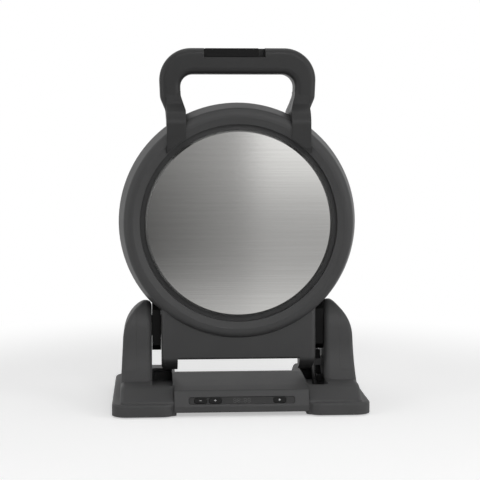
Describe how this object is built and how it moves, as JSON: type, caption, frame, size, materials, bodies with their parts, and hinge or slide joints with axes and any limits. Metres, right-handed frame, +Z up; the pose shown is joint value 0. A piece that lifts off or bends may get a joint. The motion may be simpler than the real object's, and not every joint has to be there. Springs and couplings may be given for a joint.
{
  "type": "flip waffle maker",
  "caption": "Countertop flip waffle maker, standing upright between the pillars of its base, with a round head that opens in halves, steel cover disks and a D-shaped handle.",
  "frame": {"origin": "on the table, under the middle of the base", "axes": "+Z up, +X to the right as seen from the front, -Y to the front"},
  "size_m": [0.239, 0.164, 0.3392],
  "materials": {
    "housing_plastic": "satin",
    "handle_plastic": "satin",
    "base_plastic": "satin",
    "black_plastic": "gloss",
    "brushed_steel": "brushed",
    "cast_plate": "satin",
    "steel_parts": "satin",
    "reflector_sheet": "satin",
    "rubber": "matt",
    "window_lens": "gloss",
    "board": "matt",
    "bushing_nylon": "satin"
  },
  "bodies": {
    "stand": {"base_screws": "steel_parts", "base_shell": "base_plastic", "cord_inlet": "rubber", "deck_bottom_cover": "black_plastic", "left_foot_cover": "black_plastic", "left_pillar_cover": "base_plastic", "pivot_bushings": "bushing_nylon", "right_foot_cover": "black_plastic", "right_pillar_cover": "base_plastic", "rubber_feet": "rubber", "timer_board": "board", "timer_window": "window_lens"},
    "rear_half": {"lid_hinge_pin": "steel_parts", "pivot_hubs": "black_plastic", "pivot_tubes": "steel_parts", "rear_disk": "brushed_steel", "rear_grid_plate": "cast_plate", "rear_handle": "handle_plastic", "rear_heater": "steel_parts", "rear_housing": "housing_plastic", "rear_plate_screws": "steel_parts", "rear_reflector": "reflector_sheet", "rear_thermostat": "steel_parts"},
    "front_half": {"front_disk": "brushed_steel", "front_grid_plate": "cast_plate", "front_handle": "handle_plastic", "front_heater": "steel_parts", "front_housing": "housing_plastic", "front_plate_screws": "steel_parts", "front_reflector": "reflector_sheet", "front_thermostat": "steel_parts"},
    "handle_latch": {"handle_latch": "black_plastic"},
    "storage_lock": {"storage_lock": "black_plastic"},
    "minus_button": {"minus_button": "black_plastic"},
    "plus_button": {"plus_button": "black_plastic"},
    "start_button": {"start_button": "black_plastic"}
  },
  "joints": [
    {"name": "flip", "type": "hinge", "parent": "stand", "child": "rear_half", "pos_m": [0, 0, 0.074], "axis": [-1, 0, 0], "range_deg": [-90, 90]},
    {"name": "lid", "type": "hinge", "parent": "rear_half", "child": "front_half", "pos_m": [0, 0, 0.074], "axis": [1, 0, 0], "range_deg": [0, 95]},
    {"name": "handle_latch_slide", "type": "slide", "parent": "front_half", "child": "handle_latch", "axis": [1, 0, 0], "range_m": [0, 0.006]},
    {"name": "storage_lock_slide", "type": "slide", "parent": "stand", "child": "storage_lock", "axis": [0, 0, 1], "range_m": [0, 0.0065]},
    {"name": "minus_press", "type": "slide", "parent": "stand", "child": "minus_button", "axis": [0, 0.8918, -0.4524], "range_m": [0, 0.0008], "stiffness_N_per_m": 800},
    {"name": "plus_press", "type": "slide", "parent": "stand", "child": "plus_button", "axis": [0, 0.8918, -0.4524], "range_m": [0, 0.0008], "stiffness_N_per_m": 800},
    {"name": "start_press", "type": "slide", "parent": "stand", "child": "start_button", "axis": [0, 0.8918, -0.4524], "range_m": [0, 0.0008], "stiffness_N_per_m": 800}
  ]
}
